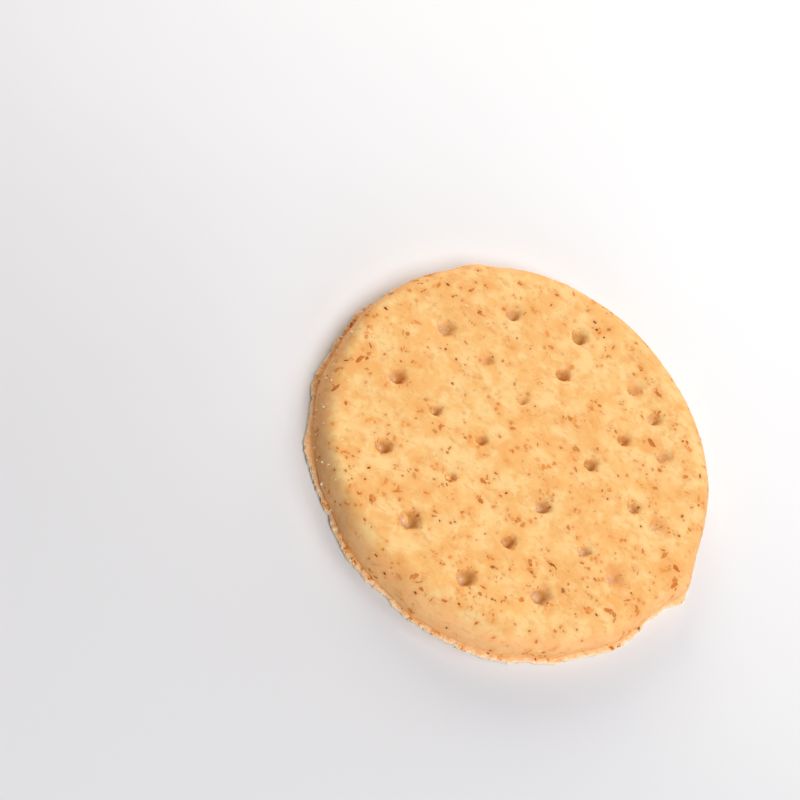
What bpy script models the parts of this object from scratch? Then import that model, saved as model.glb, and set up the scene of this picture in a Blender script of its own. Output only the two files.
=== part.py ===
"""A round docked oat biscuit, 70 mm across its foot, lying flat with the docked face up.

The biscuit is one baked solid. A blank is turned from its section, with a soft shoulder and a thin
foot of dough that spread at the cutter's edge. Its face and edge are then made uneven, the docker's
pins are cut out of the top, and the mesh is thinned where the dough is plain.

Metres, +Z up. The origin is the middle of the flat underside.
"""

import math

import bmesh
import bpy
from mathutils import Matrix, Vector, noise

MM = 0.001

# Driving dimensions
THICKNESS = 6.9 * MM
WALL_RADIUS = 34.2 * MM
FOOT_RADIUS = 35.0 * MM

# The section: a rounded shoulder, a short upright wall, a crease and the foot
SHOULDER_ACROSS = 4.6 * MM
SHOULDER_DROP = 4.0 * MM
SHOULDER_FULLNESS = 2.2
SHOULDER_STEPS = 9
WALL_END = 1.4 * MM
FOOT_CREASE = 0.95 * MM
FOOT_CREST = (-0.15 * MM, 0.8 * MM)
FOOT_EDGE = 0.45 * MM
FOOT_LIP = (-0.1 * MM, 0.15 * MM)
FOOT_UNDERCUT = 0.5 * MM
UNDERSIDE_RINGS = (0.93, 0.75, 0.4, 0.0)
FACE_STEP = 1.7 * MM
TURN_STEPS = 240

# Where the shoulder is wider, and the wall and the foot stand out: angle, size and width in degrees
SHOULDER_BULGES = ((172, -1.2 * MM, 32),)
WALL_BULGES = ((1, 0.5 * MM, 8), (70, -0.25 * MM, 18), (119, 0.25 * MM, 13), (-90, 0.3 * MM, 35))
FOOT_BULGES = (
    (-1, 1.7 * MM, 3.2), (4, 0.35 * MM, 3), (-14, -0.5 * MM, 5), (-28, 0.35 * MM, 4),
    (-38, -0.4 * MM, 4), (-66, 0.3 * MM, 6), (-97, -0.4 * MM, 6), (-121, -0.45 * MM, 5),
    (-142, 0.4 * MM, 6), (-160, 0.3 * MM, 6), (-172, -0.3 * MM, 3), (174, 0.3 * MM, 4),
    (164, -0.3 * MM, 4), (137, 0.9 * MM, 5),
)
WALL_FOLLOWS_FOOT = 0.6

# Unevenness of the baked dough: height, length and where the pattern starts
FACE_WAVE = (0.3 * MM, 11.0 * MM, Vector((3.1, 7.7, 0.2)))
WALL_WAVE = (0.22 * MM, 6.0 * MM, Vector((9.2, 1.4, 5.0)))
FOOT_WAVE = (0.24 * MM, 5.5 * MM, Vector((0.3, 4.4, 2.0)))
FOOT_CRUMBLE = (0.3 * MM, 1.2 * MM, Vector((6.3, 2.4, 8.0)))

# Docking holes: across and along in mm, mouth radius in mm and share of the full depth
DOCKING_HOLES = (
    (-22.0, 8.6, 1.75, 1.0), (-14.6, 19.2, 1.4, 1.0), (-3.4, 24.0, 1.5, 1.0), (9.2, 22.6, 1.4, 0.55),
    (14.9, 20.4, 1.3, 0.9), (19.7, 15.3, 1.45, 0.6), (-13.5, 8.5, 1.2, 0.8), (-2.0, 15.8, 1.25, 1.0),
    (-4.7, 6.6, 0.9, 0.6), (-23.3, -4.7, 1.5, 1.0), (-15.0, -5.2, 1.1, 0.8), (-18.1, -16.7, 1.5, 1.0),
    (-6.2, -4.4, 1.05, 0.9), (-6.7, -13.5, 0.95, 0.8), (10.5, 5.2, 1.35, 0.95), (12.6, 13.1, 1.2, 1.0),
    (8.1, -7.0, 1.4, 0.95), (6.9, -16.2, 1.25, 0.95), (-7.7, -24.3, 1.95, 1.05), (4.7, -26.2, 1.7, 1.05),
    (16.0, -20.3, 1.7, 1.0), (17.7, -8.8, 1.25, 0.9), (20.3, 3.6, 1.15, 0.9), (24.1, -9.6, 1.5, 0.5),
    (24.9, 3.3, 1.4, 0.4),
)
HOLE_DEPTH = 1.8 * MM
HOLE_FLOOR = 0.3
HOLE_RIM = 1.12
PIN_SIDES = 14
PIN_STEPS = 6
PIN_CLEAR = 1.5 * MM
PIN_FLARE = 0.9
PIN_LEAN = 16
DIMPLE_DEPTH = 0.18 * MM
DIMPLE_REACH = 2.1

TRIANGLES = 10400
UNDERSIDE_SLACK = 0.02 * MM
MERGE_DISTANCE = 0.001 * MM
DOUGH_COLOUR = (0.80, 0.50, 0.22, 1.0)
DOUGH_ROUGHNESS = 0.75


def clear_scene():
    for obj in list(bpy.data.objects):
        bpy.data.objects.remove(obj)


def collection(name):
    made = bpy.data.collections.new(name)
    bpy.context.scene.collection.children.link(made)
    return made


def smooth(value, low, high):
    share = min(1.0, max(0.0, (value - low) / (high - low)))
    return share * share * (3 - 2 * share)


def wave(at, size, length, start):
    return size * noise.noise(at / length + start)


def bulge(angle, bulges):
    """How far a row of bulges stands out at one angle in radians."""
    total = 0.0
    for middle, size, width in bulges:
        turn = (math.degrees(angle) - middle + 180) % 360 - 180
        total += size * math.exp(-((turn / width) ** 2))
    return total


def shoulder_height(radius, across):
    """The height of the shoulder's surface at a radius, for a shoulder of a given width."""
    share = min(1.0, max(0.0, 1 - (WALL_RADIUS - radius) / across))
    return THICKNESS - SHOULDER_DROP * (1 - (1 - share**SHOULDER_FULLNESS) ** (1 / SHOULDER_FULLNESS))


def section():
    """The half section from the middle of the top, round the edge, to the middle of the underside."""
    start = WALL_RADIUS - SHOULDER_ACROSS
    rings = math.ceil(start / FACE_STEP)
    points = [(start * i / rings, THICKNESS) for i in range(rings)]
    for i in range(SHOULDER_STEPS + 1):
        turn = math.pi / 2 * i / SHOULDER_STEPS
        radius = start + SHOULDER_ACROSS * math.sin(turn) ** (2 / SHOULDER_FULLNESS)
        points.append((radius, shoulder_height(radius, SHOULDER_ACROSS)))
    shoulder_end = THICKNESS - SHOULDER_DROP
    points.append((WALL_RADIUS, (shoulder_end + WALL_END) / 2))
    points.append((WALL_RADIUS, WALL_END))
    points.append((WALL_RADIUS, FOOT_CREASE))
    points.append((FOOT_RADIUS + FOOT_CREST[0], FOOT_CREST[1]))
    points.append((FOOT_RADIUS, FOOT_EDGE))
    points.append((FOOT_RADIUS + FOOT_LIP[0], FOOT_LIP[1]))
    points.append((FOOT_RADIUS - FOOT_UNDERCUT, 0.0))
    points += [(FOOT_RADIUS * share, 0.0) for share in UNDERSIDE_RINGS]
    return points


def apply_modifiers(obj):
    """Makes the object's shape under its modifiers its own mesh."""
    bpy.context.view_layer.update()
    made = bpy.data.meshes.new_from_object(obj.evaluated_get(bpy.context.evaluated_depsgraph_get()))
    obj.modifiers.clear()
    obj.data = made


def turned(name, points, steps, into):
    """A closed solid turned about Z from a half section that runs down its outer side."""
    mesh = bpy.data.meshes.new(name)
    mesh.from_pydata([(r, 0, z) for r, z in points], [(i, i + 1) for i in range(len(points) - 1)], [])
    obj = bpy.data.objects.new(name, mesh)
    into.objects.link(obj)
    screw = obj.modifiers.new("turn", "SCREW")
    screw.axis = "Z"
    screw.steps = screw.render_steps = steps
    screw.use_merge_vertices = True
    screw.merge_threshold = MERGE_DISTANCE
    apply_modifiers(obj)
    bm = bmesh.new()
    bm.from_mesh(obj.data)
    bmesh.ops.remove_doubles(bm, verts=bm.verts, dist=MERGE_DISTANCE)
    bmesh.ops.recalc_face_normals(bm, faces=bm.faces)
    bm.to_mesh(obj.data)
    bm.free()
    return obj


def face_height(x, y):
    """How far the top face stands above or below its plain level."""
    height = wave(Vector((x, y, 0.0)), *FACE_WAVE)
    for hole_x, hole_y, mouth, _ in DOCKING_HOLES:
        away = math.hypot(x / MM - hole_x, y / MM - hole_y) / (mouth * DIMPLE_REACH)
        if away < 1:
            height -= DIMPLE_DEPTH * (0.5 + 0.5 * math.cos(math.pi * away))
    return height


def edge_swell(angle, height):
    """How far the wall and the foot stand out from their plain radius at one angle and height."""
    around = Vector((math.cos(angle), math.sin(angle), 0)) * WALL_RADIUS
    at = around + Vector((0, 0, height))
    spread = bulge(angle, FOOT_BULGES)
    wall = bulge(angle, WALL_BULGES) + wave(at, *WALL_WAVE) + WALL_FOLLOWS_FOOT * spread
    foot = spread + wave(around, *FOOT_WAVE) + wave(at, *FOOT_CRUMBLE)
    share = 1 - smooth(height, FOOT_CREST[1], WALL_END)
    return wall + share * (foot - wall)


def make_uneven(blank):
    """Moves the blank's points so that the face and the edge are as uneven as baked dough."""
    for vertex in blank.data.vertices:
        x, y, z = vertex.co
        radius = math.hypot(x, y)
        angle = math.atan2(y, x)
        if z > THICKNESS - SHOULDER_DROP:
            z = shoulder_height(radius, SHOULDER_ACROSS + bulge(angle, SHOULDER_BULGES))
            vertex.co.z = z + smooth(z, THICKNESS - SHOULDER_DROP, THICKNESS) * face_height(x, y)
        if radius > WALL_RADIUS - SHOULDER_ACROSS:
            share = smooth(radius, WALL_RADIUS - SHOULDER_ACROSS, WALL_RADIUS)
            scale = 1 + share * edge_swell(angle, z) / radius
            vertex.co.x *= scale
            vertex.co.y *= scale


def hole_depth(share):
    """The depth at a share of the mouth's radius, as a share of the depth in the middle."""
    return 1 - smooth(share, HOLE_FLOOR, HOLE_RIM)


def docker_pin(number, hole, into):
    """A cutter with the form that a blunt pin leaves, with a cone above that opens the mouth.

    The pins lean, so that their tips point a little toward the middle of the face.
    """
    x, y, mouth, depth = hole[0] * MM, hole[1] * MM, hole[2] * MM, hole[3] * HOLE_DEPTH
    profile = [(0.0, PIN_CLEAR), (mouth * HOLE_RIM + PIN_CLEAR * PIN_FLARE, PIN_CLEAR)]
    for i in range(PIN_STEPS + 1):
        share = HOLE_RIM * (1 - i / PIN_STEPS)
        profile.append((mouth * share, -depth * hole_depth(share)))
    pin = turned(f"docker_pin_{number:02d}", profile, PIN_SIDES, into)
    sideways = Vector((-y, x, 0))
    lean = Matrix.Rotation(math.radians(PIN_LEAN) * sideways.length / WALL_RADIUS, 4, sideways)
    spin = Matrix.Rotation(number, 4, "Z")
    level = THICKNESS + face_height(x, y)
    pin.matrix_world = Matrix.Translation((x, y, level)) @ lean @ spin
    pin.hide_render = True
    pin.display_type = "WIRE"


def cut_holes(biscuit, cutters):
    """Cuts every pin out of the biscuit at once, then removes the pins."""
    docking = biscuit.modifiers.new("docking", "BOOLEAN")
    docking.operation = "DIFFERENCE"
    docking.operand_type = "COLLECTION"
    docking.collection = cutters
    docking.solver = "EXACT"
    apply_modifiers(biscuit)
    for pin in list(cutters.objects):
        bpy.data.objects.remove(pin)


def thin_mesh(biscuit):
    """Splits the faces into triangles and merges those that the plain stretches don't need."""
    split = biscuit.modifiers.new("triangles", "TRIANGULATE")
    split.min_vertices = 4
    biscuit.data.calc_loop_triangles()
    thin = biscuit.modifiers.new("thinning", "DECIMATE")
    thin.decimate_type = "COLLAPSE"
    thin.ratio = min(1.0, TRIANGLES / len(biscuit.data.loop_triangles))
    apply_modifiers(biscuit)


def level_underside(biscuit):
    """Sets the underside's points exactly level, so that the biscuit rests without rocking."""
    for vertex in biscuit.data.vertices:
        if vertex.co.z < UNDERSIDE_SLACK:
            vertex.co.z = 0.0


def material(name, colour, roughness):
    made = bpy.data.materials.new(name)
    made.use_nodes = True
    shader = made.node_tree.nodes["Principled BSDF"]
    shader.inputs["Base Color"].default_value = colour
    shader.inputs["Roughness"].default_value = roughness
    shader.inputs["Metallic"].default_value = 0.0
    return made


def build():
    clear_scene()
    part = collection("docked_oat_biscuit")
    cutters = collection("cutters")
    biscuit = turned("biscuit", section(), TURN_STEPS, part)
    make_uneven(biscuit)
    for number, hole in enumerate(DOCKING_HOLES):
        docker_pin(number, hole, cutters)
    cut_holes(biscuit, cutters)
    thin_mesh(biscuit)
    level_underside(biscuit)
    biscuit.data.materials.clear()
    biscuit.data.materials.append(material("baked_dough", DOUGH_COLOUR, DOUGH_ROUGHNESS))
    biscuit.data.shade_smooth()


build()
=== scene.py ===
"""A thin round docked oat biscuit, lying on pale paper in soft light from the right."""

import math

import bpy
import numpy as np
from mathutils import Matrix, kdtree, noise


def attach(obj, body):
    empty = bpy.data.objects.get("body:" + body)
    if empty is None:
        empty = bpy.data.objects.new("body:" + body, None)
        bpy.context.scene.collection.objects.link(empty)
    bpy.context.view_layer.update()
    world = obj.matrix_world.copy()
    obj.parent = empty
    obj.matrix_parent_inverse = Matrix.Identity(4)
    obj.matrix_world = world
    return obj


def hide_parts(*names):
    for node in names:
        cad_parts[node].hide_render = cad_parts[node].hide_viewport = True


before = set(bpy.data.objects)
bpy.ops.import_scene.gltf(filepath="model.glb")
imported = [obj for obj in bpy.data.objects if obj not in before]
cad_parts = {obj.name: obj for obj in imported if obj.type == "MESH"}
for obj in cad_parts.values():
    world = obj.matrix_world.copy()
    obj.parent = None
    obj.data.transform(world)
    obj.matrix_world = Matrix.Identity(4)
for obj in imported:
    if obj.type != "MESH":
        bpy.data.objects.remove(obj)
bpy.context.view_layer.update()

# The baked dough
# One disc of oat and wholemeal dough, stamped with a round cutter, docked with pins and baked flat.
# Its shoulder is soft, and a thin crumbly foot spread out under the cutter's edge.

MM = 0.001
THICKNESS = 6.9 * MM
WALL_RADIUS = 34.2 * MM
FOOT_RADIUS = 35.0 * MM
SHOULDER_ACROSS = 4.6 * MM
SHOULDER_DROP = 4.0 * MM
SHOULDER_FULLNESS = 2.2
WALL_END = 1.4 * MM
FOOT_CREASE = 0.95 * MM
FOOT_CREST = (-0.15 * MM, 0.8 * MM)
FOOT_EDGE = 0.45 * MM
FOOT_LIP = (-0.1 * MM, 0.15 * MM)
FOOT_UNDERCUT = 0.5 * MM
ARC_STEPS = 60
SECTION_STEPS = 1200

# Bulges round the edge: the middle's angle in degrees, the size, and the width in degrees
SHOULDER_BULGES = ((172, -2.2 * MM, 34), (-130, -2.1 * MM, 28))
WALL_BULGES = ((1, 0.5 * MM, 8), (70, -0.25 * MM, 18), (119, 0.25 * MM, 13), (-90, 0.3 * MM, 35))
FOOT_BULGES = (
    (-1, 1.7 * MM, 3.2), (4, 0.35 * MM, 3), (-14, -0.5 * MM, 5), (-28, 0.35 * MM, 4),
    (-38, -0.4 * MM, 4), (-66, 0.3 * MM, 6), (-97, -0.4 * MM, 6), (-121, -0.45 * MM, 5),
    (-142, 0.4 * MM, 6), (-160, 0.3 * MM, 6), (-172, -0.3 * MM, 3), (174, 0.3 * MM, 4),
    (164, -0.3 * MM, 4), (137, 0.9 * MM, 5),
)
WALL_FOLLOWS_FOOT = 0.6

# Soft random relief: its size, its length and where its pattern starts
FACE_WAVE = (0.3 * MM, 11.0 * MM, (3.1, 7.7, 0.2))
WALL_WAVE = (0.22 * MM, 6.0 * MM, (9.2, 1.4, 5.0))
FOOT_WAVE = (0.24 * MM, 5.5 * MM, (0.3, 4.4, 2.0))
FOOT_CRUMBLE = (0.3 * MM, 1.2 * MM, (6.3, 2.4, 8.0))
FACE_LUMPS = ((0.03 * MM, 1.7 * MM, (4.0, 1.0, 2.0)), (0.022 * MM, 0.8 * MM, (1.0, 6.0, 3.0)))
EDGE_LUMPS = (0.05 * MM, 1.1 * MM, (7.0, 3.0, 1.0))
FOOT_LUMPS = ((0.14 * MM, 0.9 * MM, (2.0, 8.0, 5.0)), (0.12 * MM, 0.45 * MM, (6.0, 1.0, 7.0)))
HOLE_LUMPS = (0.2 * MM, 0.5 * MM, (5.0, 2.0, 9.0))
UNDER_PORES = (0.22 * MM, 1.3 * MM, (3.0, 3.0, 7.0))
PORES_FADE = (0.985, 0.95)

# Each docking hole: across, along and mouth radius in mm, its share of the depth, and how floury it is
DOCKING_HOLES = (
    (-22.0, 8.6, 1.75, 0.8, 0.5), (-14.6, 19.2, 1.4, 0.9, 0.4), (-3.4, 24.0, 1.5, 1.15, 0.0),
    (9.2, 22.6, 1.4, 0.6, 0.0), (14.9, 20.4, 1.3, 0.9, 0.9), (19.7, 15.3, 1.45, 0.65, 0.3),
    (-13.5, 8.5, 1.2, 0.65, 0.3), (-2.0, 15.8, 1.25, 1.25, 0.0), (-4.7, 6.6, 0.9, 0.7, 0.1),
    (-23.3, -4.7, 1.5, 1.15, 0.6), (-15.0, -5.2, 1.1, 0.9, 0.4), (-18.1, -16.7, 1.5, 1.05, 0.8),
    (-6.2, -4.4, 1.05, 0.9, 0.0), (-6.7, -13.5, 0.95, 0.85, 0.0), (10.5, 5.2, 1.35, 1.1, 0.0),
    (12.6, 13.1, 1.2, 1.1, 0.0), (8.1, -7.0, 1.4, 1.1, 0.9), (6.9, -16.2, 1.25, 1.2, 0.7),
    (-7.7, -24.3, 1.95, 1.25, 1.0), (4.7, -26.2, 1.7, 1.25, 0.9), (16.0, -20.3, 1.7, 1.15, 1.0),
    (17.7, -8.8, 1.25, 0.8, 0.9), (20.3, 3.6, 1.15, 0.9, 0.7), (24.1, -9.6, 1.5, 0.55, 0.6),
    (24.9, 3.3, 1.4, 0.45, 0.4),
)
HOLE_DEPTH = 1.5 * MM
HOLE_LEAN = 0.3
HOLE_WOBBLES = ((0.2, 0.65, (0.4, 2.2, 1.3)), (0.1, 0.2, (3.0, 1.0, 6.0)))
HOLE_BOWL = (0.25, 1.2)
# Painted shade deepens toward each hole's floor; the pale flour sits toward its lit side as painted light
PIT_SHADE_BOWL = (0.4, 1.15)
FLOUR_LIT_SIDE = (-0.3, -0.15)
FLOUR_REACH = (0.3, 0.75)
DIMPLE_DEPTH = 0.18 * MM
DIMPLE_REACH = 2.1


def smooth(value, start, end):
    """A soft step from 0 at the start to 1 at the end."""
    share = np.clip((value - start) / (end - start), 0, 1)
    return share * share * (3 - 2 * share)


def waver(points, size, length, start):
    """Soft random relief of a size and length at each row of points."""
    return size * np.array([noise.noise(point) for point in (points / length + start).tolist()])


def bulge(angle, bulges):
    """How far a row of bulges stands out at each angle."""
    total = np.zeros_like(angle)
    for middle, size, width in bulges:
        turn = (np.degrees(angle) - middle + 180) % 360 - 180
        total += size * np.exp(-((turn / width) ** 2))
    return total


def shoulder_height(radius, across):
    """The height of the shoulder's surface at each radius, for a shoulder of a given width."""
    share = np.clip(1 - (WALL_RADIUS - radius) / across, 0, 1)
    return THICKNESS - SHOULDER_DROP * (1 - (1 - share**SHOULDER_FULLNESS) ** (1 / SHOULDER_FULLNESS))


def edge_section():
    """The skin's half section from the middle of the face to the underside, as run, radius and height."""
    start = WALL_RADIUS - SHOULDER_ACROSS
    turn = np.linspace(0, math.pi / 2, ARC_STEPS)
    across = start + SHOULDER_ACROSS * np.sin(turn) ** (2 / SHOULDER_FULLNESS)
    down = THICKNESS - SHOULDER_DROP * (1 - np.cos(turn) ** (2 / SHOULDER_FULLNESS))
    foot = np.array([
        (WALL_RADIUS, WALL_END),
        (WALL_RADIUS, FOOT_CREASE),
        (FOOT_RADIUS + FOOT_CREST[0], FOOT_CREST[1]),
        (FOOT_RADIUS, FOOT_EDGE),
        (FOOT_RADIUS + FOOT_LIP[0], FOOT_LIP[1]),
        (FOOT_RADIUS - FOOT_UNDERCUT, 0.0),
    ])
    radius = np.concatenate([[0.0], across, foot[:, 0]])
    height = np.concatenate([[THICKNESS], down, foot[:, 1]])
    run = np.concatenate([[0.0], np.cumsum(np.hypot(np.diff(radius), np.diff(height)))])
    even = np.linspace(0, run[-1], SECTION_STEPS)
    return even, np.interp(even, run, radius), np.interp(even, run, height)


RUN, RADIUS, HEIGHT = edge_section()
SKIN_RADIUS = RUN[-1]
OUTWARD = -np.gradient(HEIGHT, RUN)
UPWARD = np.gradient(RADIUS, RUN)


def leaning_share(x, y, lean_x, lean_y):
    """How far out each point of a hole lies, from 0 at its leaning floor to 1 at its mouth."""
    from_floor = (x - lean_x, y - lean_y)
    along = from_floor[0] * lean_x + from_floor[1] * lean_y
    upright = 1 - lean_x**2 - lean_y**2
    apart = from_floor[0]**2 + from_floor[1]**2
    return (along + np.sqrt(along**2 + upright * apart)) / upright


def hole_relief(x, y):
    """At each point: the pins' depth, the sag round them, painted shade in the holes, and flour with painted
    light.
    """
    depth = np.zeros_like(x)
    sag = np.zeros_like(x)
    pit_shade = np.zeros_like(x)
    flour_with_painted_light = np.zeros_like(x)
    for number, (hole_x, hole_y, mouth, deep, floury) in enumerate(DOCKING_HOLES):
        away_x = x / MM - hole_x
        away_y = y / MM - hole_y
        away = np.hypot(away_x, away_y) / mouth
        near = away < DIMPLE_REACH
        if not near.any():
            continue
        turn = np.arctan2(away_y[near], away_x[near])
        rim = np.stack([np.cos(turn), np.sin(turn), np.full_like(turn, 3.0 * number)], 1)
        uneven = 1 + sum(waver(rim, *wobble) for wobble in HOLE_WOBBLES)
        inward = -HOLE_LEAN * np.array([hole_x, hole_y]) / (WALL_RADIUS / MM)
        share = leaning_share(away_x[near] / mouth, away_y[near] / mouth, *inward) / uneven
        depth[near] = np.maximum(depth[near], deep * HOLE_DEPTH * (1 - smooth(share, *HOLE_BOWL)))
        sag[near] += DIMPLE_DEPTH * (0.5 + 0.5 * np.cos(math.pi * away[near] / DIMPLE_REACH))
        # Painted shade, darkest at the hole's floor
        pit_shade[near] = np.maximum(pit_shade[near], min(deep, 1) ** 1.5 * (1 - smooth(share, *PIT_SHADE_BOWL)))
        # Flour on the floor, moved toward the hole's lit side: partly real flour, partly painted light
        from_flour = np.hypot(away_x[near] / mouth - FLOUR_LIT_SIDE[0], away_y[near] / mouth - FLOUR_LIT_SIDE[1])
        flour_with_painted_light[near] = np.maximum(flour_with_painted_light[near], floury * (1 - smooth(from_flour, *FLOUR_REACH)))
    return depth, sag, pit_shade, flour_with_painted_light


def skin(across, along, lift=0.0):
    """Bends points of the flat, unrolled skin round the biscuit, and gives the holes' painted shade and
    their flour, painted lighter on the lit side.
    """
    run = np.hypot(across, along)
    angle = np.arctan2(along, across)
    radius = np.interp(run, RUN, RADIUS)
    height = np.interp(run, RUN, HEIGHT)
    shoulder = shoulder_height(radius, SHOULDER_ACROSS + bulge(angle, SHOULDER_BULGES))
    height = np.where(height > THICKNESS - SHOULDER_DROP, shoulder, height)
    outward = np.interp(run, RUN, OUTWARD)
    upward = np.interp(run, RUN, UPWARD)
    x = radius * np.cos(angle)
    y = radius * np.sin(angle)
    flat = np.stack([x, y, np.zeros_like(x)], 1)
    around = np.stack([np.cos(angle), np.sin(angle), np.zeros_like(x)], 1) * WALL_RADIUS
    at = around + np.stack([np.zeros_like(x), np.zeros_like(x), height], 1)
    solid = np.stack([x, y, height], 1)
    depth, sag, pit_shade, flour_with_painted_light = hole_relief(x, y)
    top = smooth(height, THICKNESS - SHOULDER_DROP, THICKNESS)
    side = smooth(radius, WALL_RADIUS - SHOULDER_ACROSS, WALL_RADIUS)
    foot = 1 - smooth(height, FOOT_CREST[1], WALL_END)
    spread = bulge(angle, FOOT_BULGES)
    wall_swell = bulge(angle, WALL_BULGES) + waver(at, *WALL_WAVE) + WALL_FOLLOWS_FOOT * spread
    foot_swell = spread + waver(around, *FOOT_WAVE) + waver(at, *FOOT_CRUMBLE)
    swell = side * (wall_swell + foot * (foot_swell - wall_swell))
    lumps = sum(waver(solid, *wave) for wave in FACE_LUMPS)
    lumps += side * waver(solid, *EDGE_LUMPS)
    lumps += foot * sum(waver(solid, *wave) for wave in FOOT_LUMPS)
    lumps += smooth(pit_shade, 0.05, 0.5) * waver(solid, *HOLE_LUMPS)
    lift = lumps * smooth(height, 0, FOOT_LIP[1]) + lift
    sink = top * (waver(flat, *FACE_WAVE) - sag) - depth
    reach = radius + swell + outward * lift
    return np.stack([
        reach * np.cos(angle),
        reach * np.sin(angle),
        np.maximum(height + sink + upward * lift, 0.0),
    ], 1), pit_shade, flour_with_painted_light


def round_grid(half):
    """A square grid bent into a disc: each point's share of the radius and its angle."""
    side = np.linspace(-1, 1, 2 * half + 1)
    u, v = (part.ravel() for part in np.meshgrid(side, side, indexing="ij"))
    wide = np.abs(u) >= np.abs(v)
    big = np.where(wide, u, v)
    small = np.where(wide, v, u)
    ratio = small / np.where(big == 0, 1, big)
    angle = np.where(wide, math.pi / 4 * ratio, math.pi / 2 - math.pi / 4 * ratio) + math.pi * (big < 0)
    return np.abs(big), angle % (2 * math.pi)


def grid_faces(half, start=0, turned_over=False):
    """The grid's square faces, and its outer points in order round the rim."""
    count = 2 * half + 1
    index = np.arange(count * count).reshape(count, count) + start
    faces = np.stack([index[:-1, :-1], index[1:, :-1], index[1:, 1:], index[:-1, 1:]], -1).reshape(-1, 4)
    rim = np.concatenate([index[:-1, 0], index[-1, :-1], index[:0:-1, -1], index[0, :0:-1]])
    return faces[:, ::-1] if turned_over else faces, rim


FACE_HALF = 140
UNDER_HALF = FACE_HALF // 2
EDGE_DENSITY = 1.5


def dough_mesh():
    """The skin over the face and the edge, closed with the flat underside."""
    share, angle = round_grid(FACE_HALF)
    start = WALL_RADIUS - SHOULDER_ACROSS
    crowd = np.cumsum(np.where(RUN < start, 1.0, EDGE_DENSITY))
    run = np.interp(share * crowd[-1], crowd, RUN)
    top, pit_shade, flour_with_painted_light = skin(run * np.cos(angle), run * np.sin(angle))
    top_faces, top_rim = grid_faces(FACE_HALF)
    under_share, under_angle = round_grid(UNDER_HALF)
    under_faces, under_rim = grid_faces(UNDER_HALF, len(top), turned_over=True)
    rim = top[top_rim[::2]]
    rim_angle = np.arctan2(rim[:, 1], rim[:, 0])
    order = np.argsort(rim_angle)
    edge = np.interp((under_angle + math.pi) % (2 * math.pi) - math.pi, rim_angle[order],
                     np.hypot(rim[:, 0], rim[:, 1])[order], period=2 * math.pi)
    under = np.stack([under_share * edge * np.cos(under_angle), under_share * edge * np.sin(under_angle)], 1)
    pores = np.maximum(waver(np.c_[under, np.zeros(len(under))], *UNDER_PORES), 0)
    under = np.c_[under, pores * smooth(under_share, *PORES_FADE)]
    under[under_rim - len(top)] = rim
    points = np.concatenate([top, under])
    joins = np.stack([top_rim[::2], np.roll(top_rim, -2)[::2], top_rim[1::2]], 1)
    weld = np.arange(len(points))
    weld[under_rim] = top_rim[::2]
    faces = top_faces.tolist() + weld[under_faces].tolist() + joins.tolist()
    mesh = bpy.data.meshes.new("biscuit_dough")
    mesh.from_pydata(points.tolist(), [], faces)
    # Marks for the holes' painted shade, their flour with painted light, and the underside
    for name, above, below in (("painted_pit_shade", pit_shade, 0), ("flour_with_painted_light", flour_with_painted_light, 0), ("under", 0 * pit_shade, 1)):
        mark = mesh.attributes.new(name, "FLOAT", "POINT")
        mark.data.foreach_set("value", np.concatenate([above, np.full(len(under), float(below))]))
    return mesh


def add_piece(name, mesh):
    """Puts a mesh in the scene as a piece."""
    piece = bpy.data.objects.new(name, mesh)
    bpy.context.scene.collection.objects.link(piece)
    return piece


class Socket:
    """One output of a node, whose sums and products add Math nodes beside it."""

    def __init__(self, tree, output):
        self.tree = tree
        self.output = output

    def node(self, kind, settings=None, sockets=None, give=0):
        """Adds a node: its settings first, then the values or links of its sockets."""
        made = self.tree.nodes.new(kind)
        settings = dict(settings or {})
        stops = settings.pop("stops", ())
        for name, value in settings.items():
            setattr(made, name, value)
        for i, (place, colour) in enumerate(stops):
            stop = made.color_ramp.elements[i] if i < 2 else made.color_ramp.elements.new(place)
            stop.position = place
            stop.color = colour
        for name, value in (sockets or {}).items():
            if isinstance(value, Socket):
                self.tree.links.new(value.output, made.inputs[name])
            else:
                made.inputs[name].default_value = value
        return Socket(self.tree, made.outputs[give])

    def maths(self, operation, first, second=0.0, third=0.0):
        """Adds one Math node."""
        return self.node("ShaderNodeMath", {"operation": operation}, {0: first, 1: second, 2: third})

    def __add__(self, other):
        return self.maths("ADD", self, other)

    def __radd__(self, other):
        return self.maths("ADD", other, self)

    def __sub__(self, other):
        return self.maths("SUBTRACT", self, other)

    def __rsub__(self, other):
        return self.maths("SUBTRACT", other, self)

    def __mul__(self, other):
        return self.maths("MULTIPLY", self, other)

    def __rmul__(self, other):
        return self.maths("MULTIPLY", other, self)

    def step(self, start, end):
        """A soft step from 0 to 1 between two values."""
        values = {"Value": self, "From Min": start, "From Max": end}
        return self.node("ShaderNodeMapRange", {"interpolation_type": "SMOOTHSTEP"}, values)

    def cloud(self, length, detail=2.0, ragged=0.5, twist=0.0):
        """Soft noise on a vector socket, whose patches are about a length across."""
        values = {"Vector": self, "Scale": 1 / length, "Detail": detail}
        return self.node("ShaderNodeTexNoise", None, {**values, "Roughness": ragged, "Distortion": twist})

    def mark(self, name):
        """A value kept at the points of the mesh."""
        return self.node("ShaderNodeAttribute", {"attribute_name": name}, None, "Fac")

    def blend(self, first, second):
        """Mixes two colours, by this socket as the share of the second."""
        return self.node("ShaderNodeMix", {"data_type": "RGBA"}, {0: self, 6: first, 7: second}, 2)


def start_material(name):
    """A new material's place on the object, as a vector socket, and its shader."""
    made = bpy.data.materials.new(name)
    made.use_nodes = True
    shader = made.node_tree.nodes["Principled BSDF"]
    place = made.node_tree.nodes.new("ShaderNodeTexCoord")
    return made, Socket(made.node_tree, place.outputs["Object"]), shader


def feed(shader, name, socket):
    """Links a value or a colour to one of the shader's sockets."""
    socket.tree.links.new(socket.output, shader.inputs[name])


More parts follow.
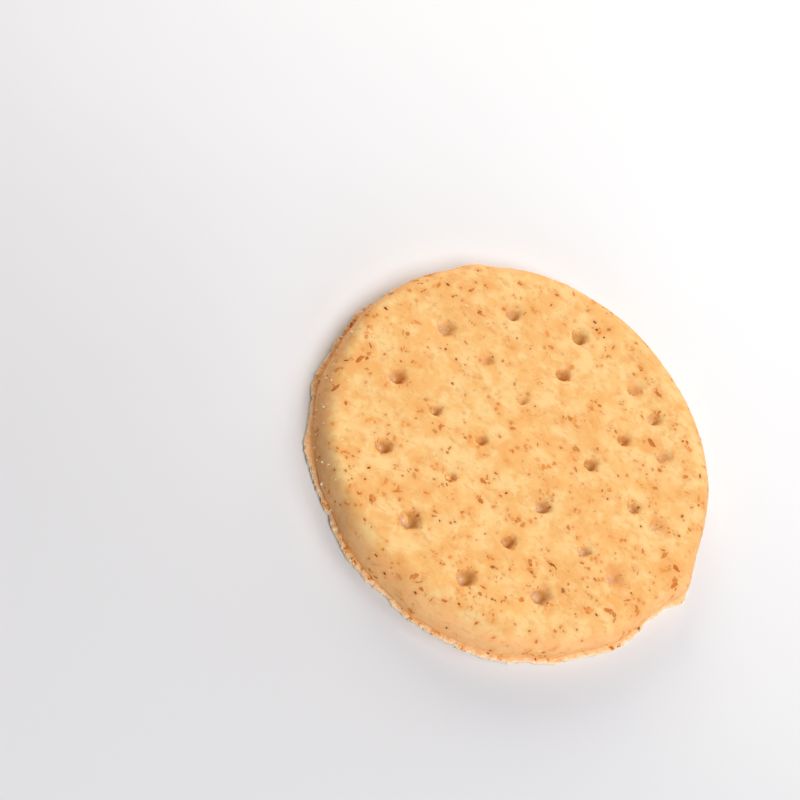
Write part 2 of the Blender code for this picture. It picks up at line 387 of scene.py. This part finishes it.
PALE_DOUGH = (0.95, 0.642, 0.272, 1)
GOLDEN_DOUGH = (0.925, 0.502, 0.166, 1)
TAN_DOUGH = (0.885, 0.415, 0.114, 1)
# The side below the face: partly its baked gold, partly painted warm shade
SIDE_GOLD_AND_WARM_SHADE = (0.93, 0.47, 0.20, 1)
BRAN_SMUDGE = (0.74, 0.31, 0.09, 1)
# Bran stains, and painted shade on the rims of the widest holes
BRAN_STAIN_AND_SHADE = (0.84, 0.35, 0.11, 1)
# Painted shade deep in the holes, and pale flour on their floors, painted lighter on the lit side
PIT_PAINTED_SHADE = (0.61, 0.325, 0.085, 1)
FLOUR_FLOOR_AND_PAINTED_LIGHT = (0.82, 0.53, 0.37, 1)
FOOT_CREAM = (1.0, 0.78, 0.52, 1)
UNDER_GOLD = (0.80, 0.43, 0.13, 1)
UNDER_BROWN = (0.62, 0.27, 0.07, 1)


def dough_tone(place):
    """The baked dough's own colour: pale, golden and tan patches in soft uneven clouds."""
    patches = place.cloud(5.5 * MM, 3, 0.55)
    mottle = place.cloud(2.4 * MM, 3, 0.55, 0.5)
    colour = (patches * 0.55 + mottle * 0.45).step(0.40, 0.60).blend(GOLDEN_DOUGH, PALE_DOUGH)
    return (place.cloud(3.8 * MM, 3, 0.55, 0.4).step(0.50, 0.66) * 0.6).blend(colour, TAN_DOUGH)


def smudges(place, heading, length, start):
    """Long soft marks that lie at a heading, where bran shows through the dough."""
    values = {"Vector": place, "Rotation": (0, 0, math.radians(-heading)), "Scale": (0.5, 1, 1)}
    along = place.node("ShaderNodeMapping", None, values)
    return along.cloud(length, 2, 0.5, 0.6).step(start, start + 0.12)


def dough_material():
    """Baked dough, bran smudges, painted shade in holes and on the side, painted lit flour, a cream foot, a
    browner underside.
    """
    made, place, shader = start_material("baked_dough")
    grain = place.cloud(0.5 * MM, 3, 0.6)
    colour = dough_tone(place)
    up = place.node("ShaderNodeSeparateXYZ", None, {"Vector": place}, "Z")
    # Golden toward the side: partly baked colour, partly painted warm shade
    colour = (up.step(6.85 * MM, 5.2 * MM) * 0.65).blend(colour, SIDE_GOLD_AND_WARM_SHADE)
    marks = smudges(place, 30, 1.1 * MM, 0.58) + smudges(place, 75, 0.9 * MM, 0.60)
    colour = (marks * 0.3).blend(colour, BRAN_SMUDGE)
    colour = (place.cloud(0.9 * MM, 1, 0.4, 1.0).step(0.64, 0.74) * 0.3).blend(colour, BRAN_SMUDGE)
    # Bran stains round the flakes, and painted shade on the rims of the widest holes
    colour = (place.mark("bran_stain_and_shade") * (grain * 0.9 + 0.2)).blend(colour, BRAN_STAIN_AND_SHADE)
    # Painted shade: the holes darken toward their floors
    painted_pit_shade = (place.mark("painted_pit_shade") + (grain - 0.5) * 0.9).step(0.15, 1.0)
    colour = (painted_pit_shade * 0.85).blend(colour, PIT_PAINTED_SHADE)
    # Flour on the holes' floors, on their lit side: partly real flour, partly painted light
    floury = place.mark("flour_with_painted_light") * grain.step(0.3, 0.55)
    colour = (floury * 0.9).blend(colour, FLOUR_FLOOR_AND_PAINTED_LIGHT)
    foot = (up + grain * (0.4 * MM)).step(1.2 * MM, 0.8 * MM)
    colour = (foot * 0.9).blend(colour, FOOT_CREAM)
    touching = up.step(0.09 * MM, 0.01 * MM) * (place.cloud(7 * MM, 3, 0.6).step(0.35, 0.65) * 0.5 + 0.2)
    under = place.mark("under")
    colour = under.blend(colour, (touching * (grain + 0.3)).blend(UNDER_GOLD, UNDER_BROWN))
    feed(shader, "Base Color", colour)
    relief = grain * 0.6 + place.cloud(0.22 * MM, 2, 0.6) * 0.4
    bump = {"Height": relief, "Strength": 0.35, "Distance": 0.1 * MM}
    feed(shader, "Normal", place.node("ShaderNodeBump", None, bump))
    shader.inputs["Roughness"].default_value = 0.78
    shader.inputs["Specular IOR Level"].default_value = 0.25
    return made


dough = add_piece("biscuit_dough", dough_mesh())
dough.data.materials.append(dough_material())
dough.data.shade_smooth()
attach(dough, "root")
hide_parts("biscuit")

# Bran flakes
# Torn flakes of bran, husk and germ from the oats and wholemeal, pressed into the dough as it was rolled.
# Most lie under a thin film of dough, which leaves them as soft tan marks.

CORNERS = 8
CORNER_SHIFT = 0.35
CORNER_REACH = (0.6, 1.15)
CROWN = 0.6
CROWN_UNEVEN = (0.5, 1.4)
FLAKE_SUNK = 0.015 * MM
FLAKE_PROUD = 0.035 * MM
FLAKE_DEEP = 0.1 * MM
FLAKES_END = 0.985
FLAKE_LENGTHS = (0.22, 2.6)
FLAKE_WIDTHS = (0.22 * MM, 1.1 * MM)
GROUP_SPREAD = 0.6 * MM
GROUP_TURN = 50
RIM_FILM = 0.6
UNDER_PROUD = 0.3
UNDER_RADIUS = 33.8 * MM
UNDER_LENGTHS = (0.2, 2.2)
HOLE_RIM = (0.95, 0.13)
HOLE_RIM_LENGTHS = (0.22, 0.6)
HOLE_RIM_FILM = (3, 2.4)
STAIN_SPREAD = (0.42, 0.15 * MM)
draw = np.random.default_rng(31)

# The clearest flakes: across, along, length and width in mm, and heading in degrees
RUST_FLAKES = (
    (-15.2, -27.9, 1.1, 0.3, -90), (-16.4, -26.4, 1.3, 0.4, 60), (-18.4, 15.0, 1.7, 0.35, 20),
    (-20.9, -21.8, 0.9, 0.4, 10), (-21.8, -21.9, 1.1, 0.4, 30), (-22.6, -22.5, 0.9, 0.5, 50),
    (-21.1, -4.4, 0.9, 0.4, 50), (-22.8, 19.4, 0.9, 0.4, 20), (-25.4, -0.5, 1.2, 0.3, -40),
    (-27.1, -3.2, 1.0, 0.4, -90), (-28.7, 11.6, 2.0, 0.3, 70), (2.4, -32.7, 1.5, 0.3, 80),
    (20.9, -29.7, 1.8, 0.3, 10), (25.8, -5.8, 2.1, 0.2, -30), (27.7, -11.2, 2.3, 0.3, 50),
    (26.0, 12.3, 0.9, 0.4, 40), (28.1, 0.6, 1.4, 0.4, 30), (31.6, -7.1, 0.7, 0.5, 30),
    (6.4, -20.7, 0.9, 0.5, 40), (13.8, -30.9, 1.0, 0.5, 50), (2.2, 26.6, 1.6, 0.4, -90),
    (-22.3, -22.1, 0.8, 0.5, 20), (-21.5, -22.7, 0.7, 0.4, -60), (-20.6, -20.5, 0.7, 0.5, 80),
    (-23.6, -22.4, 0.6, 0.4, -20), (-16.7, -26.5, 0.8, 0.4, -30),
)
ORANGE_FLAKES = (
    (-16.9, 24.9, 1.2, 0.9, 20), (-22.6, 17.5, 1.9, 0.7, 70), (-26.9, -7.7, 1.0, 0.6, 70),
    (-28.9, -5.9, 1.4, 0.7, 90), (-27.8, -7.5, 1.1, 0.4, 20), (-18.7, -14.5, 1.1, 0.4, 70),
    (-19.5, -13.1, 1.0, 0.4, 40), (-1.2, -7.8, 0.8, 0.4, 0), (1.7, -12.9, 1.2, 0.6, 50),
    (0.8, -25.2, 1.2, 0.5, 70), (7.8, -25.7, 1.6, 0.4, 10), (13.8, -23.2, 1.2, 0.9, 80),
    (4.1, -31.6, 1.4, 0.6, 20), (10.2, -31.1, 1.2, 0.6, 60), (21.0, -23.7, 0.9, 0.6, -20),
    (27.7, -15.4, 1.4, 0.4, -80), (27.7, -9.7, 1.0, 0.4, -20), (28.9, 4.7, 1.1, 0.7, 30),
    (28.2, 10.8, 1.2, 0.4, 60), (5.6, -20.9, 0.9, 0.5, -10),
)
BROWN_FLAKES = (
    (-31.7, 4.1, 1.0, 0.7, 0), (-0.2, -33.4, 0.8, 0.45, -20), (-5.1, -21.3, 1.2, 0.3, 30),
    (2.0, -9.5, 0.8, 0.4, 70), (7.4, -35.1, 0.7, 0.5, -70), (6.2, -30.6, 0.7, 0.4, 10),
    (12.9, -18.0, 0.6, 0.4, 50), (24.9, -17.0, 0.7, 0.4, -10), (22.9, 1.5, 0.5, 0.4, -10),
    (-3.9, -21.3, 0.6, 0.35, -40), (-1.8, 27.3, 1.1, 0.6, 50), (-2.9, 28.3, 0.9, 0.6, 10),
    (-0.1, 26.9, 0.6, 0.4, -50), (-17.8, -21.7, 0.9, 0.5, 70), (-26.2, 15.6, 1.0, 0.6, 0),
    (-31.4, -8.6, 1.4, 0.35, 40), (-29.7, -3.6, 1.5, 0.25, -30), (-5.9, -34.3, 1.0, 0.5, -30),
    (-8.6, -32.6, 1.1, 0.3, -10), (16.7, -34.8, 1.0, 0.3, 10),
)
OCHRE_FLAKES = (
    (-18.3, -27.2, 1.1, 0.3, -80), (-21.6, 14.6, 1.3, 0.5, 0), (-23.7, -14.4, 0.7, 0.4, 30),
    (-23.8, -20.6, 0.9, 0.35, 70), (29.6, 3.4, 0.9, 0.4, 50),
)
# A faint crease in the skin: short thin shreds end to end
CREASE = ((-16.3, 4.2, 1.0, 0.22, -30), (-15.4, 3.8, 1.1, 0.24, -15), (-14.4, 3.7, 1.1, 0.22, 10),
          (-13.4, 4.1, 1.1, 0.24, 30), (-12.5, 4.7, 0.9, 0.2, 45))
# Painted shade in soft orange on the rims of the widest docking holes: across, along and reach in mm, and
# strength
HOLE_RIM_SHADE = (
    (23.2, -8.3, 1.7, 0.95), (25.7, -9.1, 1.3, 0.8), (26.4, 4.1, 1.6, 0.85), (24.3, 4.2, 1.1, 0.7),
    (-7.2, -22.5, 1.0, 0.9), (5.1, -24.5, 0.9, 0.7), (15.2, -18.7, 1.0, 0.9), (17.8, -20.0, 1.1, 0.6),
)


def under_skin(across, along, lift):
    """Points of the flat underside, turned over so that a lift goes down and away from the dough."""
    return np.stack([across, -along, -UNDER_PROUD * lift], 1), None, None


def scatter_flakes(groups, shares, lengths, film):
    """Random flakes in loose groups, more of them toward the rim and the lower right of the face."""
    rows = []
    while len(rows) < groups:
        across, along = draw.uniform(-SKIN_RADIUS, SKIN_RADIUS, 2)
        reach = math.hypot(across, along) / SKIN_RADIUS
        leaning = (across - along) / SKIN_RADIUS
        if reach > FLAKES_END or draw.random() > 0.5 + 0.3 * reach**2 + 0.12 * leaning:
            continue
        heading = draw.uniform(0, 180)
        for member in range(draw.choice(len(shares), p=shares) + 1):
            length = np.clip(draw.lognormal(math.log(lengths[0]), lengths[1]), *FLAKE_LENGTHS) * MM
            width = np.clip(length * draw.uniform(0.4, 1.0), *FLAKE_WIDTHS)
            spread = draw.normal(0, GROUP_SPREAD, 2) if member else (0, 0)
            at = (across + spread[0], along + spread[1])
            if math.hypot(*at) < FLAKES_END * SKIN_RADIUS:
                rows.append((*at, length, width, heading + draw.normal(0, GROUP_TURN), draw.beta(*film)))
    return rows


def rim_flakes():
    """Small flakes dragged to the rims of the docking holes, most of all of the floury ones."""
    rows = []
    for hole_x, hole_y, mouth, deep, floury in DOCKING_HOLES:
        for i in range(round(2 + 12 * floury * deep)):
            turn = draw.uniform(0, 2 * math.pi)
            away = mouth * draw.normal(*HOLE_RIM)
            length = draw.uniform(*HOLE_RIM_LENGTHS) * MM
            at = ((hole_x + away * math.cos(turn)) * MM, (hole_y + away * math.sin(turn)) * MM)
            width = length * draw.uniform(0.5, 1.0)
            rows.append((*at, length, width, draw.uniform(0, 180), draw.beta(*HOLE_RIM_FILM)))
    return rows


def chosen_flakes(listed, film):
    """Flakes from a list, all under the same share of film."""
    return [(across * MM, along * MM, length * MM, width * MM, heading, film)
            for across, along, length, width, heading in listed]


def under_flakes(count, lengths, film):
    """Random flakes of the flat underside."""
    turn = draw.uniform(0, 2 * math.pi, count)
    reach = UNDER_RADIUS * np.sqrt(draw.random(count))
    length = np.clip(draw.lognormal(math.log(lengths[0]), lengths[1], count), *UNDER_LENGTHS) * MM
    width = length * draw.uniform(0.35, 1.0, count)
    heading = draw.uniform(0, 180, count)
    return np.stack([reach * np.cos(turn), reach * np.sin(turn), length, width, heading,
                     draw.beta(*film, count)], 1)


def shape_flakes(rows, place):
    """Each flake's jagged rim, sunk in the dough, its crown, and its middle above and below."""
    across, along, length, width, heading, film = (column[:, None] for column in np.array(rows).T)
    shape = (len(rows), CORNERS)
    turn = (np.arange(CORNERS) + draw.uniform(-CORNER_SHIFT, CORNER_SHIFT, shape)) * 2 * math.pi / CORNERS
    reach = draw.uniform(*CORNER_REACH, shape)
    run = length / 2 * reach * np.cos(turn)
    offset = width / 2 * reach * np.sin(turn)
    crown = FLAKE_PROUD * draw.uniform(*CROWN_UNEVEN, shape)
    middle = np.zeros((len(rows), 1))
    runs = np.concatenate([run, CROWN * run, middle, middle], 1)
    offsets = np.concatenate([offset, CROWN * offset, middle, middle], 1)
    rim = np.full(shape, -FLAKE_SUNK)
    lifts = np.concatenate([rim, crown, middle + FLAKE_PROUD, middle - FLAKE_DEEP], 1)
    films = film + np.repeat([RIM_FILM, 0], [CORNERS, CORNERS + 2])
    cos, sin = np.cos(np.radians(heading)), np.sin(np.radians(heading))
    x = across + runs * cos - offsets * sin
    y = along + runs * sin + offsets * cos
    return place(x.ravel(), y.ravel(), lifts.ravel())[0], films.ravel()


def flake_mesh(name, rows, under_rows):
    """Joins flakes of the face and of the underside into one mesh of small closed chips."""
    parts = [shape_flakes(rows, skin), shape_flakes(under_rows, under_skin)]
    points = np.concatenate([part[0] for part in parts])
    rim = np.arange(CORNERS)
    after = (rim + 1) % CORNERS
    top = 2 * CORNERS
    bottom = top + 1
    one = np.concatenate([
        np.stack([rim, after, after + CORNERS], 1),
        np.stack([rim, after + CORNERS, rim + CORNERS], 1),
        np.stack([rim + CORNERS, after + CORNERS, np.full(CORNERS, top)], 1),
        np.stack([after, rim, np.full(CORNERS, bottom)], 1),
    ])
    starts = np.arange(0, len(points), bottom + 1)
    faces = (one[None] + starts[:, None, None]).reshape(-1, 3)
    mesh = bpy.data.meshes.new(name)
    mesh.from_pydata(points.tolist(), [], faces.tolist())
    mark = mesh.attributes.new("film", "FLOAT", "POINT")
    mark.data.foreach_set("value", np.concatenate([part[1] for part in parts]))
    return mesh


FLAKE_CORE = (0.12, 0.045, 0.012, 1)
BRAN_COLOURS = ((0.60, 0.17, 0.03, 1), (0.78, 0.25, 0.04, 1), (0.88, 0.34, 0.07, 1), (0.66, 0.24, 0.05, 1))
HUSK_COLOURS = ((0.30, 0.11, 0.025, 1), (0.46, 0.17, 0.03, 1), (0.58, 0.25, 0.05, 1), (0.52, 0.17, 0.03, 1))
GERM_COLOURS = ((0.76, 0.42, 0.03, 1), (0.84, 0.52, 0.08, 1), (0.64, 0.30, 0.04, 1), (0.95, 0.72, 0.30, 1))


def flake_material(name, colours):
    """One of the colours on each flake, with dark cores, fading into the dough under its film."""
    made, place, shader = start_material(name)
    island = place.node("ShaderNodeNewGeometry", None, None, "Random Per Island")
    stops = [((i + 0.5) / len(colours), colour) for i, colour in enumerate(colours)]
    tint = island.node("ShaderNodeValToRGB", {"stops": stops}, {"Fac": island})
    blotch = place.cloud(0.3 * MM, 2, 0.6)
    core = (place.cloud(0.35 * MM, 1, 0.5) - place.mark("film") * 0.5).step(0.52, 0.7)
    covered = (place.mark("film") + (blotch - 0.5) * 1.1).step(0.15, 1.05)
    up = place.node("ShaderNodeSeparateXYZ", None, {"Vector": place}, "Z")
    film_tone = up.step(0.12 * MM, 0.06 * MM).blend(dough_tone(place), UNDER_GOLD)
    feed(shader, "Base Color", covered.blend((core * 0.9).blend(tint, FLAKE_CORE), film_tone))
    shader.inputs["Roughness"].default_value = 0.8
    shader.inputs["Specular IOR Level"].default_value = 0.15
    return made


dough_tree = kdtree.KDTree(len(dough.data.vertices))
for i, point in enumerate(dough.data.vertices):
    dough_tree.insert(point.co, i)
dough_tree.balance()
bran_stain_and_shade = np.zeros(len(dough.data.vertices))


def stain_and_shade_dough(across, along, spreads, strengths):
    """Marks the dough close round each place: bran's colour spread round a flake, painted shade round a
    hole's rim.
    """
    middles = skin(across, along)[0]
    for middle, spread, strength in zip(middles, spreads, strengths):
        for place, i, distance in dough_tree.find_range(middle, 2 * spread):
            bran_stain_and_shade[i] = max(bran_stain_and_shade[i], strength * math.exp(-((distance / spread) ** 2)))


def add_flakes(name, chosen, groups, shares, lengths, films, under_count, colours):
    """Adds one kind of flake: chosen and scattered ones, those underneath, and the dough they stain."""
    rows = chosen + scatter_flakes(groups, shares, lengths, films)
    across, along, length = np.array(rows).T[:3]
    film = np.array(rows)[:, -1]
    stain_and_shade_dough(across, along, STAIN_SPREAD[0] * length + STAIN_SPREAD[1], 1 - 0.65 * np.minimum(film, 1))
    mesh = flake_mesh(name, rows, under_flakes(under_count, lengths, films))
    piece = add_piece(name, mesh)
    piece.data.materials.append(flake_material(name, colours))
    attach(piece, "root")


clear_flakes = chosen_flakes(RUST_FLAKES, 0.05) + chosen_flakes(ORANGE_FLAKES, 0.0)
clear_flakes += chosen_flakes(CREASE, 0.4)
add_flakes("bran_flakes", clear_flakes, 1300,
           (0.4, 0.24, 0.16, 0.1, 0.06, 0.04), (0.9, 0.5), (2.0, 2.0), 300, BRAN_COLOURS)
add_flakes("husk_flakes", chosen_flakes(BROWN_FLAKES, -0.5) + rim_flakes(), 300,
           (0.6, 0.25, 0.15), (0.55, 0.4), (2.0, 2.0), 60, HUSK_COLOURS)
add_flakes("germ_flakes", chosen_flakes(OCHRE_FLAKES, 0.1), 190,
           (0.7, 0.2, 0.1), (0.5, 0.4), (2.4, 2.2), 50, GERM_COLOURS)

# Painted shade on the rims of the widest holes, kept in the same mark as the bran stains
hole_rim_shade = np.array(HOLE_RIM_SHADE).T
stain_and_shade_dough(*hole_rim_shade[:3] * MM, hole_rim_shade[3])
mark = dough.data.attributes.new("bran_stain_and_shade", "FLOAT", "POINT")
mark.data.foreach_set("value", bran_stain_and_shade)

# Crumbs and flour grains
# Pale crumbs of dough torn by the cutter along the foot, and a few grains of flour left on the edge
# and in the docking holes.

CRUMB_STRETCH = (0.6, 1.25)
CRUMB_JAG = (0.72, 1.2)


def crumb_shape():
    """A ball of eight three-cornered faces, each cut in four."""
    points = [(1, 0, 0), (-1, 0, 0), (0, 1, 0), (0, -1, 0), (0, 0, 1), (0, 0, -1)]
    faces = []
    middles = {}

    def middle(a, b):
        key = (min(a, b), max(a, b))
        if key not in middles:
            joined = np.add(points[a], points[b])
            points.append(tuple(joined / np.linalg.norm(joined)))
            middles[key] = len(points) - 1
        return middles[key]

    for x in (0, 1):
        for y in (2, 3):
            for z in (4, 5):
                a, b, c = (x, y, z) if (x + y + z) % 2 == 0 else (x, z, y)
                ab, bc, ca = middle(a, b), middle(b, c), middle(c, a)
                faces += [(a, ab, ca), (b, bc, ab), (c, ca, bc), (ab, bc, ca)]
    return np.array(points, dtype=float), np.array(faces)


def crumb_mesh(name, rows):
    """Joins crumbs into one mesh from rows of across, along, lift and size."""
    shape, faces = crumb_shape()
    across, along, lift, size = np.array(rows).T
    middle = skin(across, along, lift)[0]
    count = len(rows)
    stretch = draw.uniform(*CRUMB_STRETCH, (count, 1, 3))
    jag = draw.uniform(*CRUMB_JAG, (count, len(shape), 1))
    tilt = draw.normal(0, 1, (count, 3, 3))
    turned = np.linalg.qr(tilt)[0]
    points = np.einsum("ijk,ikl->ijl", shape[None] * stretch * jag, turned) * size[:, None, None] / 2
    points += middle[:, None]
    points[:, :, 2] = np.maximum(points[:, :, 2], 0)
    turned_over = np.linalg.det(turned) < 0
    all_faces = faces[None] + np.arange(count)[:, None, None] * len(shape)
    all_faces[turned_over] = all_faces[turned_over][:, :, ::-1]
    mesh = bpy.data.meshes.new(name)
    mesh.from_pydata(points.reshape(-1, 3).tolist(), [], all_faces.reshape(-1, 3).tolist())
    return mesh


# How far along the skin the foot's edge lies
FOOT_RUN = float(np.interp(-FOOT_EDGE, -HEIGHT, RUN))
FOOT_CRUMBS = 1100
CRUMB_SPREAD = (-0.1, 0.28)
CRUMB_SIZES = (0.14, 0.46)
CRUMB_SUNK = 0.15
UNDER_MARGIN = 0.25 * MM

foot_rows = []
for i in range(FOOT_CRUMBS):
    angle = draw.uniform(0, 2 * math.pi)
    run = FOOT_RUN + draw.normal(*CRUMB_SPREAD) * MM
    run = min(run, SKIN_RADIUS - UNDER_MARGIN)
    size = draw.uniform(*CRUMB_SIZES) * MM
    foot_rows.append((run * math.cos(angle), run * math.sin(angle), -CRUMB_SUNK * size, size))

# The clearest grains of flour: across, along and size in mm
CLEAR_GRAINS = (
    (-31.4, -12.7, 0.45), (-28.9, -24.0, 0.4), (-27.1, -25.6, 0.5), (-25.0, -25.4, 0.55),
    (-23.5, -25.3, 0.35), (-23.9, -28.7, 0.7), (-29.4, -21.8, 0.35), (-29.9, -17.3, 0.35),
    (-20.6, -32.1, 0.5), (-5.4, 16.9, 0.42),
)
GRAIN_PROUD = 0.1
HOLE_GRAIN_PROUD = 0.05
# Smaller grains on the edge: their number, their middle angle and its spread in degrees, and in mm how far
# they lie up from the foot's edge and their sizes
EDGE_GRAINS = 24
EDGE_GRAIN_ANGLE = (-155, 16)
EDGE_GRAIN_RISE = (0.6, 5.5)
EDGE_GRAIN_SIZES = (0.14, 0.38)
HOLE_GRAINS = 5
HOLE_GRAIN_SIZES = (0.12, 0.26)

grain_rows = [(across * MM, along * MM, GRAIN_PROUD * size * MM, size * MM)
              for across, along, size in CLEAR_GRAINS]
for i in range(EDGE_GRAINS):
    angle = math.radians(draw.normal(*EDGE_GRAIN_ANGLE))
    run = FOOT_RUN - draw.uniform(*EDGE_GRAIN_RISE) * MM
    size = draw.uniform(*EDGE_GRAIN_SIZES) * MM
    grain_rows.append((run * math.cos(angle), run * math.sin(angle), GRAIN_PROUD * size, size))
for hole_x, hole_y, mouth, deep, floury in DOCKING_HOLES:
    for i in range(round(floury * HOLE_GRAINS)):
        angle = draw.uniform(0, 2 * math.pi)
        away = 0.6 * mouth * draw.random() * MM
        size = draw.uniform(*HOLE_GRAIN_SIZES) * MM
        x = (hole_x + mouth * FLOUR_LIT_SIDE[0]) * MM + away * math.cos(angle)
        y = (hole_y + mouth * FLOUR_LIT_SIDE[1]) * MM + away * math.sin(angle)
        grain_rows.append((x, y, HOLE_GRAIN_PROUD * size, size))


def crumb_material(name, colour, darker):
    """A tone between two colours on each crumb."""
    made, place, shader = start_material(name)
    island = place.node("ShaderNodeNewGeometry", None, None, "Random Per Island")
    feed(shader, "Base Color", island.blend(colour, darker))
    shader.inputs["Roughness"].default_value = 0.85
    shader.inputs["Specular IOR Level"].default_value = 0.2
    return made


CRUMB_TONES = ((0.98, 0.79, 0.55, 1), (0.90, 0.62, 0.34, 1))
FLOUR_TONES = ((1.0, 0.90, 0.76, 1), (0.92, 0.70, 0.46, 1))

crumbs = add_piece("foot_crumbs", crumb_mesh("foot_crumbs", foot_rows))
crumbs.data.materials.append(crumb_material("foot_crumb", *CRUMB_TONES))
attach(crumbs, "root")

grains = add_piece("flour_grains", crumb_mesh("flour_grains", grain_rows))
grains.data.materials.append(crumb_material("flour_grain", *FLOUR_TONES))
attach(grains, "root")

# Paper, light and camera
# The biscuit lies on smooth white paper, lit by a broad window at the right, with light from all round.

PAPER_SIDE = 3.0
PAPER_DROP = 0.02 * MM
SHADED_PAPER = (0.73, 0.735, 0.765, 1)
BRIGHT_PAPER = (0.955, 0.965, 0.99, 1)


def paper_material():
    """White paper, with a little painted shade toward the front."""
    made, place, shader = start_material("white_paper")
    along = place.node("ShaderNodeSeparateXYZ", None, {"Vector": place}, "Y")
    # Painted shade: darker toward the front, lighter toward the back
    tone = (along + place.cloud(40 * MM, 2) * (20 * MM)).step(-55 * MM, 95 * MM)
    feed(shader, "Base Color", tone.blend(SHADED_PAPER, BRIGHT_PAPER))
    shader.inputs["Roughness"].default_value = 0.9
    shader.inputs["Specular IOR Level"].default_value = 0.1
    return made


half = PAPER_SIDE / 2
corners = [(-half, -half, -PAPER_DROP), (half, -half, -PAPER_DROP), (half, half, -PAPER_DROP),
           (-half, half, -PAPER_DROP)]
sheet = bpy.data.meshes.new("paper")
sheet.from_pydata(corners, [], [(0, 1, 2, 3)])
paper = add_piece("paper", sheet)
paper.data.materials.append(paper_material())

SKY = (1.0, 0.99, 1.0, 1)
SKY_STRENGTH = 0.06
LAMP_SIZE = 0.5
# Each lamp, a metre away: its turn and rise in degrees, its power and its colour
LAMPS = (
    ("window", -45, 58, 5.8, (1, 1, 1)), ("second_window", 45, 58, 2.9, (1, 1, 1)),
    ("white_wall_right", -45, 14, 2.6, (1, 1, 1)), ("white_wall_behind", 90, 14, 2.4, (1, 1, 1)),
    ("cream_wall_left", 135, 22, 5.2, (1, 0.88, 0.75)),
)


def add_lamp(name, turn, rise, power, colour):
    """A round soft light that faces the biscuit from a turn and a rise in degrees."""
    turn = math.radians(turn)
    rise = math.radians(rise)
    lamp = bpy.data.lights.new(name, "AREA")
    lamp.shape = "DISK"
    lamp.size = LAMP_SIZE
    lamp.energy = power
    lamp.color = colour
    light = bpy.data.objects.new(name, lamp)
    light.location = (math.cos(rise) * math.cos(turn), math.cos(rise) * math.sin(turn), math.sin(rise))
    light.rotation_euler = (0, math.pi / 2 - rise, turn)
    bpy.context.scene.collection.objects.link(light)


for name, turn, rise, power, colour in LAMPS:
    add_lamp(name, turn, rise, power, colour)

world = bpy.data.worlds.new("soft_surround")
world.use_nodes = True
sky = world.node_tree.nodes["Background"]
sky.inputs["Color"].default_value = SKY
sky.inputs["Strength"].default_value = SKY_STRENGTH
bpy.context.scene.world = world
bpy.context.scene.view_settings.view_transform = "Standard"

CAMERA_PLACE = (-20.57 * MM, -199.33 * MM, 307.36 * MM)
CAMERA_TURN = (26.52, -19.45, 33.71)
LENS_MM = 100
SENSOR_MM = 36
NEAREST = 0.01

lens = bpy.data.cameras.new("camera")
lens.lens = LENS_MM
lens.sensor_width = SENSOR_MM
lens.clip_start = NEAREST
camera = bpy.data.objects.new("camera", lens)
camera.location = CAMERA_PLACE
camera.rotation_euler = [math.radians(turn) for turn in CAMERA_TURN]
bpy.context.scene.collection.objects.link(camera)
bpy.context.scene.camera = camera
